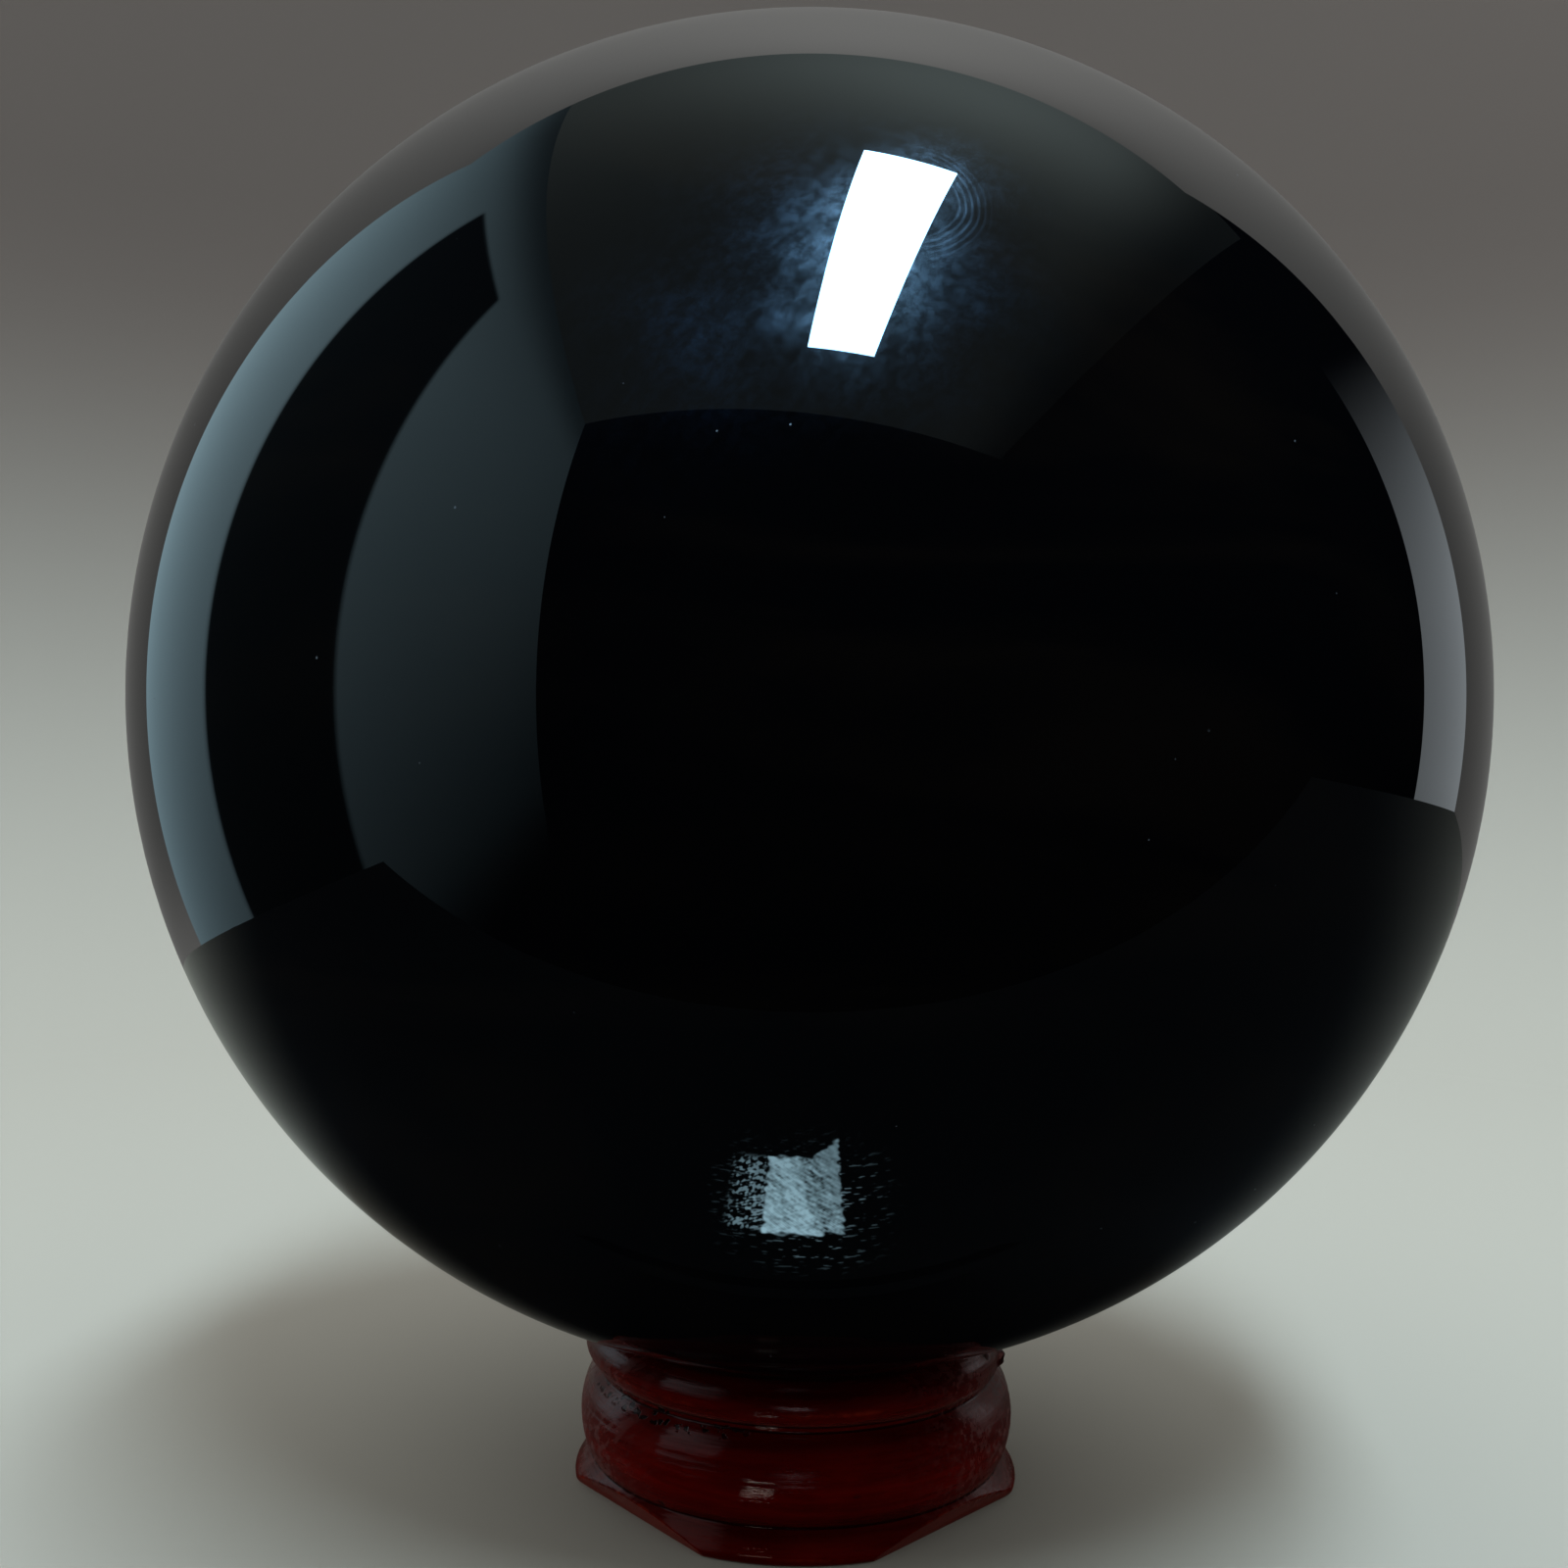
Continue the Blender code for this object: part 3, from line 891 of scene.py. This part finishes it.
def upright_corners(start, end, bottom, top):
    """Corners of an upright sheet over the line from start to end, two points (x, y) on the table."""
    return [(*start, bottom), (*end, bottom), (*end, top), (*start, top)]


def lit_sheet(name, corners, colour, strength, glow=None, steps=96, **light):
    """A flat sheet of light that glows by a formula of its points."""
    made = flat_sheet(name, corners, steps)
    points = corners_of(made)
    point_value(made, "glow", np.ones(len(points)) if glow is None else glow(*points.T))
    made.data.materials.append(glowing(name + "_light", colour, strength, **light))
    return made


def turned_sheet(name, radius, height, material, columns=128):
    """A round sheet: the line (radius, height) turned once about the axis, with both ends left open."""
    a = np.linspace(0.0, 2 * math.pi, columns, endpoint=False)
    rows = (radius[:, None] * np.sin(a), -radius[:, None] * np.cos(a), height[:, None])
    grid = np.stack(np.broadcast_arrays(*rows), axis=-1)
    row, column = np.meshgrid(np.arange(len(radius) - 1), np.arange(columns), indexing="ij")
    here, right_of = row * columns + column, row * columns + (column + 1) % columns
    faces = np.stack([here, right_of, right_of + columns, here + columns], axis=-1).reshape(-1, 4)
    made = mesh_object(name, grid.reshape(-1, 3), faces.tolist())
    made.data.materials.append(material)
    return made


# %% [markdown]
# The sweep is turned about the table's axis: a floor, a quarter of a circle and a wall. The camera and
# soft light meet it, and mirrored rays meet a floor of their own in its place. That one is pale behind
# the ball and dark before it, as a table is that the camera leans over.

# %% The pale sweep, and the floor that mirrors meet
FLOOR_REACH, SWEEP_CURVE, WALL_TOP = 0.42, 0.45, 0.95
MIRRORED_FRONT, MIRRORED_BACK = -0.17, 0.60
MIRRORED_LEFT, MIRRORED_RIGHT = -0.30, 0.90
FLOOR_DROP = 0.00005
MIRRORED_FLOOR_DROP = 0.00002
FLOOR_COLOUR, WALL_COLOUR = (0.300, 0.293, 0.258), (0.125, 0.104, 0.092)
MIRRORED_DARK, MIRRORED_PALE = (0.006, 0.007, 0.008), (0.15, 0.15, 0.13)

pale, tree, shader = new_material("pale_floor")
pale_colour = blend(tree, stored(tree, "rise"), FLOOR_COLOUR, WALL_COLOUR)
tree.links.new(pale_colour, shader.inputs["Base Color"])
shader.inputs["Roughness"].default_value = 1.0
shader.inputs["Specular IOR Level"].default_value = 0.0

floor_radius = np.array([0.001, 0.06, 0.2, FLOOR_REACH])
floor = turned_sheet("pale_floor", floor_radius, np.full(4, -FLOOR_DROP), pale)
seen_by(floor, mirror=False)

quarter = np.radians(np.linspace(0.0, 90.0, 24))
wall_radius = np.append(FLOOR_REACH + SWEEP_CURVE * np.sin(quarter), FLOOR_REACH + SWEEP_CURVE)
wall_height = np.append(SWEEP_CURVE * (1.0 - np.cos(quarter)), WALL_TOP) - FLOOR_DROP
wall = turned_sheet("pale_wall", wall_radius, wall_height, pale)
point_value(floor, "rise", np.zeros(len(floor.data.vertices)))
point_value(wall, "rise", smooth_step(-0.01, 0.42, corners_of(wall)[:, 2]))
seen_by(wall, mirror=False, scatter=False)

low_mirror, tree, shader = new_material("floor_as_mirrored")
shade = blend(tree, stored(tree, "paleness"), MIRRORED_DARK, MIRRORED_PALE)
tree.links.new(shade, shader.inputs["Base Color"])
shader.inputs["Roughness"].default_value = 0.9
shader.inputs["Specular IOR Level"].default_value = 0.0
mirrored_corners = level_corners(
    MIRRORED_LEFT, MIRRORED_RIGHT, MIRRORED_FRONT, MIRRORED_BACK, -MIRRORED_FLOOR_DROP,
)
mirrored_floor = flat_sheet("floor_as_mirrored", mirrored_corners, 90)
mirrored_floor.data.materials.append(low_mirror)
floor_x, floor_y, _ = corners_of(mirrored_floor).T
far = np.maximum(np.hypot(floor_x, floor_y), 0.01)
paleness = smooth_step(-0.05, 0.9, floor_y / far) * (1.0 - 0.60 * smooth_step(0.2, 0.8, floor_x / far))
point_value(mirrored_floor, "paleness", paleness)
seen_by(mirrored_floor, camera=False, scatter=False)
print(f"sweep: floor to {FLOOR_REACH} m, wall at {FLOOR_REACH + SWEEP_CURVE:.2f} m")

# %% [markdown]
# Each sheet of light follows a short formula, read off from how bright the ball is along it. The glass
# sends back 4 to 20 parts in 100 of what falls on it, depending on the slant, so a grey of that much
# less in the ball stands for the glow on the sheet.
#
# The lamp is made twice from the same corners. One lights all that is matt and is never seen, and the
# other is met by mirrored rays alone, so each has the colour and the strength that it needs.

# %% The lamp
LAMP_STRENGTH = 42.0
MIRRORED_LAMP_STRENGTH = 92.0
ONLY_MIRRORS = {"camera": False, "scatter": False}

lamp = lit_sheet("lamp", lamp_points, (0.74, 0.90, 1.0), LAMP_STRENGTH, steps=2, lights_the_room=True)
seen_by(lamp, camera=False, mirror=False)
lamp_in_mirrors = lit_sheet(
    "lamp_as_mirrored", lamp_points, (0.28, 0.62, 1.0), MIRRORED_LAMP_STRENGTH,
    steps=2, lights_the_room=True,
)
seen_by(lamp_in_mirrors, **ONLY_MIRRORS)
print(f"the lamp is {MIRRORED_LAMP_STRENGTH / LAMP_STRENGTH:.1f} times as strong in mirrors")

# %% [markdown]
# The quiet greys round the lamp are a cloth overhead, a tall flat at the left, a low one behind and a
# narrow card at the right. The left flat reaches back to the cloth's corner and dims near its top, so
# that neither a black gap nor a bright seam shows where the two meet.

# %% Cloth, flats and card
CLOTH_HEIGHT = CEILING_HEIGHT + 0.01
CLOTH_BRIGHT, CLOTH_SPREAD = (0.45, 0.50), (0.75, 0.60)
# Ends of the flats and corners of the cloth, to the right and back from the axis, in metres.
LEFT_END, LEFT_FRONT = Vector((-0.69, 1.0)), Vector((-1.49, -1.79))
RIGHT_END, RIGHT_FRONT = Vector((1.6, 1.0)), Vector((1.42, -2.28))
# The left flat's glow is measured from here.
LEFT_BACK = Vector((-0.80, 0.62))
LEFT_BOTTOM = -0.9
# The dark board before the left flat: where each of its soft edges starts and ends, along and up the flat.
BOARD_BACK, BOARD_FRONT, BOARD_TOP = (0.42, 0.44), (0.98, 1.01), (1.47, 1.50)
BACK_FLAT_Y, BACK_FLAT_BOTTOM, BACK_FLAT_TOP = 0.60, -0.6, 1.39
BACK_FLAT_LEFT, BACK_FLAT_RIGHT = -0.86, 0.90
CARD_X, CARD_FRONT, CARD_BACK = 0.90, 0.26, 0.60
CARD_BOTTOM, CARD_TOP = -0.3, 0.8


def cloth_glow(x, y, z):
    """A low level everywhere, and a bell-shaped brighter place behind the ball and to the right."""
    (bright_x, bright_y), (spread_x, spread_y) = CLOTH_BRIGHT, CLOTH_SPREAD
    bell = np.exp(-(((x - bright_x) / spread_x) ** 2) - ((y - bright_y) / spread_y) ** 2)
    return (0.11 + 0.40 * bell) * (1.0 - 0.8 * smooth_step(0.9, 1.5, x))


def left_flat_glow(x, y, z):
    """A bell in height that rises and dims towards the front, less the dark board, and dim near the top."""
    along = np.hypot(x - LEFT_BACK.x, y - LEFT_BACK.y)
    u = along / (LEFT_FRONT - LEFT_BACK).length
    above = z - 0.6 - 0.9 * u
    bell = np.exp(-0.85 * u) * np.exp(-((above / np.where(above < 0.0, 0.95 + 0.5 * u, 0.95)) ** 2))
    board = smooth_step(*BOARD_BACK, along) * (1.0 - smooth_step(*BOARD_FRONT, along))
    board = board * (1.0 - smooth_step(*BOARD_TOP, z))
    near_cloth = smooth_step(BOARD_TOP[1], CLOTH_HEIGHT, z)
    return bell * (1.0 - 0.97 * board) * (1.0 - 0.55 * near_cloth) * smooth_step(LEFT_BOTTOM, -0.35, z)


def back_flat_glow(x, y, z):
    """Dim at the table and brighter towards the top, most of all in the middle."""
    low = 0.15 + 0.20 * smooth_step(0.0, -0.3, z)
    return low + 0.50 * smooth_step(0.35, 1.35, z) * (0.35 + 0.65 * np.exp(-(((x - 0.1) / 0.45) ** 2)))


def card_glow(x, y, z):
    """Even in the middle of its height, and fading to nothing at both ends."""
    return smooth_step(-0.25, 0.05, z) * (1.0 - smooth_step(0.25, 0.75, z))


cloth_corners = [(*corner, CLOTH_HEIGHT) for corner in (LEFT_END, RIGHT_END, RIGHT_FRONT, LEFT_FRONT)]
cloth = lit_sheet("ceiling_cloth", cloth_corners, (0.82, 1.0, 0.98), 1.0, cloth_glow)
left_flat = lit_sheet(
    "left_flat", upright_corners(LEFT_END, LEFT_FRONT, LEFT_BOTTOM, CLOTH_HEIGHT),
    (0.58, 0.87, 1.0), 1.05, left_flat_glow, steps=240,
)
back_ends = (BACK_FLAT_LEFT, BACK_FLAT_Y), (BACK_FLAT_RIGHT, BACK_FLAT_Y)
back_flat = lit_sheet(
    "back_flat", upright_corners(*back_ends, BACK_FLAT_BOTTOM, BACK_FLAT_TOP),
    (1.0, 1.0, 0.97), 1.0, back_flat_glow,
)
right_card = lit_sheet(
    "right_card", upright_corners((CARD_X, CARD_FRONT), (CARD_X, CARD_BACK), CARD_BOTTOM, CARD_TOP),
    (0.85, 0.94, 1.0), 0.75, card_glow,
)
for sheet in (cloth, left_flat, back_flat, right_card):
    seen_by(sheet, **ONLY_MIRRORS)
    print(f"{sheet.name}: {len(sheet.data.polygons)} faces")

# %% [markdown]
# The lamp also leaves a patch of light on the floor, and the ball mirrors it low down. A floor with a
# gloss is never quite even, so the patch breaks up at its edges into flecks and short dashes. They are
# sums of sine waves cut off at a level, inside a few soft masks.

# %% The patch of lamp light on the floor
GLINT_X, GLINT_Y = 0.0011, -0.0911
GLINT_HALF_X, GLINT_HALF_Y = 0.0091, 0.0138
GLINT_LIFT = 0.60
GLINT_ROOM = 2.6
GLINT_STRENGTH = 6.0
STREAK_SLANT = math.radians(48.0)
WAVE_COUNT = 28


def wavy(x, y, across_rate, along_rate, seed, slant=0.0):
    """A sum of sine waves of random rates, in radians per mm, across and along a slanting line.

    It is divided by the square root of half their count, which gives it a typical size of 1.
    """
    rng = np.random.default_rng(seed)
    total = np.zeros(x.shape)
    turned_x = (x * math.cos(slant) + y * math.sin(slant)) / MM
    turned_y = (y * math.cos(slant) - x * math.sin(slant)) / MM
    for _ in range(WAVE_COUNT):
        across, along = rng.normal(0.0, across_rate), rng.normal(0.0, along_rate)
        total += np.sin(across * turned_x + along * turned_y + rng.uniform(0.0, 2 * math.pi))
    return total / math.sqrt(WAVE_COUNT / 2)


def glint_glow(x, y, z):
    """A block lifted at one corner and dimmer past a slant, with flecks left of it and dashes round it."""
    coarse, fine = wavy(x, y, 1.2, 1.6, 11), wavy(x, y, 3.2, 3.6, 12)
    across, along = (x - GLINT_X) / GLINT_HALF_X, (y - GLINT_Y) / GLINT_HALF_Y
    lift = GLINT_LIFT * np.maximum(across - 0.25, 0.0) * (along < 0.0)
    edge = np.maximum(np.abs(across), np.abs(along + lift))
    block = smooth_step(-0.04, 0.05, 1.0 - edge + 0.03 * coarse)
    streaks = wavy(x, y, 1.0, 4.2, 14, STREAK_SLANT)
    mottle = 0.35 * coarse + 0.30 * fine + 0.55 * streaks
    brink = across - 0.10 - 0.38 * along
    level = 0.54 + 0.42 * (1.0 - smooth_step(-0.3, 0.3, brink))
    level = level + 0.32 * mottle * (1.0 - 0.6 * smooth_step(0.4, 0.9, brink))
    left = smooth_step(-0.85, -1.05, across) * (1.0 - smooth_step(-1.7, -2.1, across))
    net = left * (1.0 - smooth_step(0.8, 1.05, np.abs(along)))
    net = net * smooth_step(0.05, 0.9, 0.7 * fine + 0.5 * coarse)
    at_sides = np.exp(-((np.maximum(np.abs(across) - 1.0, 0.0) / 0.9) ** 2) - (along / 0.9) ** 2)
    below = np.exp(-(((along - 1.35) / 0.40) ** 2) - ((across - 0.3) / 0.9) ** 2)
    strewn = np.maximum(at_sides, below)
    dashes = smooth_step(1.2, 2.2, wavy(x, y, 1.0, 4.5, 13)) * strewn * (edge > 1.0)
    return np.clip(np.maximum(block * level, 0.55 * net) + 0.45 * dashes, 0.0, 1.3)


room_x, room_y = GLINT_ROOM * GLINT_HALF_X, GLINT_ROOM * GLINT_HALF_Y
glint_corners = level_corners(GLINT_X - room_x, GLINT_X + room_x, GLINT_Y - room_y, GLINT_Y + room_y, 0.0)
glint = lit_sheet(
    "lamp_glint_on_floor", glint_corners, (0.52, 0.85, 1.0), GLINT_STRENGTH, glint_glow,
    steps=260, see_through=True,
)
seen_by(glint, **ONLY_MIRRORS)
print(f"patch of light on the floor: {2 * room_x / MM:.0f} x {2 * room_y / MM:.0f} mm with its flecks")

# %% [markdown]
# The belly of the stand has a short level gleam that the lamp can't give it past the ball. So a strip of
# light a few millimetres wide stands just before the belly, and its black back keeps it out of the ball.
#
# Two grey gels dim what is mirrored low down. An upright one stands before the foot and dims what the
# lower belly mirrors. A level one hangs just before the rim and a little higher, and dims the stand's own
# reflection in the ball's underside. It clears towards its sides, so that no edge of it shows there.

# %% Gleam and gels
GLEAM_X, GLEAM_Y, GLEAM_Z = -0.0083, -0.0418, 0.0055
GLEAM_HALF_X, GLEAM_HALF_Z = 0.0036, 0.00062
GLEAM_LINE, GLEAM_PHASE = 0.00046, 1.5
GLEAM_STRENGTH = 15.0
BACKING_GAP = 0.00005
GEL_Y, GEL_HEIGHT, GEL_HALF_X, GEL_SHARE = -0.060, 0.012, 0.045, 0.22
LEVEL_GEL_Z = 0.027
LEVEL_GEL_HALF_X, LEVEL_GEL_FADE = 0.036, 0.018
LEVEL_GEL_FRONT, LEVEL_GEL_BACK = -0.062, -0.0365


def gleam_glow(x, y, z):
    """Level lines, sin(2 pi z / spacing) cut to bright and dark, that end raggedly at both sides."""
    line_wave = np.sin(2 * math.pi * (z - GLEAM_Z) / GLEAM_LINE + GLEAM_PHASE)
    lines = smooth_step(-0.2, 0.6, line_wave + 0.3 * wavy(x, z, 0.6, 1.5, 21))
    ends = smooth_step(1.0, 0.7, np.abs(x - GLEAM_X) / GLEAM_HALF_X + 0.15 * wavy(x, z, 0.3, 4.0, 22))
    return lines * ends * smooth_step(1.0, 0.8, np.abs(z - GLEAM_Z) / GLEAM_HALF_Z)


def strip_corners(middle_x, y, middle_z, half_width, half_height):
    """Corners of an upright strip that faces the front."""
    ends = (middle_x - half_width, y), (middle_x + half_width, y)
    return upright_corners(*ends, middle_z - half_height, middle_z + half_height)


gleam = lit_sheet(
    "gleam_before_belly", strip_corners(GLEAM_X, GLEAM_Y, GLEAM_Z, GLEAM_HALF_X, GLEAM_HALF_Z),
    (0.63, 1.0, 0.94), GLEAM_STRENGTH, gleam_glow,
)
back_strip = strip_corners(GLEAM_X, GLEAM_Y - BACKING_GAP, GLEAM_Z, 1.1 * GLEAM_HALF_X, 1.4 * GLEAM_HALF_Z)
gleam_back = lit_sheet("back_of_gleam", back_strip, (0.0, 0.0, 0.0), 0.0, steps=2)

grey, tree, shader = new_material("grey_gel")
tree.nodes.remove(shader)
shade = blend(tree, stored(tree, "clearness"), (GEL_SHARE, GEL_SHARE, GEL_SHARE), (1.0, 1.0, 1.0))
dimmed = add(tree, "ShaderNodeBsdfTransparent", {"Color": shade})
tree.links.new(dimmed.outputs[0], tree.nodes["Material Output"].inputs["Surface"])

gel = flat_sheet("grey_gel", strip_corners(0.0, GEL_Y, GEL_HEIGHT / 2, GEL_HALF_X, GEL_HEIGHT / 2), 2)
level_gel_corners = level_corners(
    -LEVEL_GEL_HALF_X, LEVEL_GEL_HALF_X, LEVEL_GEL_FRONT, LEVEL_GEL_BACK, LEVEL_GEL_Z,
)
level_gel = flat_sheet("grey_gel_over_rim", level_gel_corners, 24)
from_side = LEVEL_GEL_HALF_X - np.abs(corners_of(level_gel)[:, 0])
point_value(gel, "clearness", np.zeros(len(gel.data.vertices)))
point_value(level_gel, "clearness", 1.0 - smooth_step(0.0, LEVEL_GEL_FADE, from_side))
for sheet in (gel, level_gel):
    sheet.data.materials.append(grey)
for sheet in (gleam, gleam_back, gel, level_gel):
    seen_by(sheet, **ONLY_MIRRORS)
print(f"gleam: {2 * GLEAM_HALF_X / MM:.1f} mm wide; gels let {GEL_SHARE:.2f} of the light through")

# %% [markdown]
# ## The air of the room
#
# What no sheet covers is air. Soft light comes out of it, strongest from overhead, weak from the front and
# a little stronger from the left. Mirrored rays meet air that is nearly black, and the camera meets a plain
# grey, so the air gives light without showing in the ball.

# %% The air of the room
world = bpy.data.worlds.new("room")
bpy.context.scene.world = world
world.use_nodes = True
tree = world.node_tree
tree.nodes.clear()
path = add(tree, "ShaderNodeLightPath")
direction = add(tree, "ShaderNodeTexCoord").outputs["Generated"]
parted = add(tree, "ShaderNodeSeparateXYZ", {0: direction})
level_light = ramp(tree, parted.outputs[1], -0.8, 0.2, 0.03, 0.50)
level_light = sums(tree, "MULTIPLY", level_light, ramp(tree, parted.outputs[0], -0.9, 0.2, 1.9, 1.0))
soft_light = blend(tree, ramp(tree, parted.outputs[2], 0.20, 1.0), level_light, (1.3, 1.3, 1.28))
room = blend(tree, path.outputs["Is Glossy Ray"], soft_light, (0.0003, 0.0003, 0.0004))
room = blend(tree, path.outputs["Is Camera Ray"], room, (0.30, 0.30, 0.29))
air = add(tree, "ShaderNodeBackground", {"Color": room, "Strength": 1.0})
add(tree, "ShaderNodeOutputWorld", {"Surface": air.outputs[0]})
bpy.context.scene.view_settings.view_transform = "Standard"
bpy.context.scene.view_settings.look = "None"
print("air:", len(tree.nodes), "nodes")
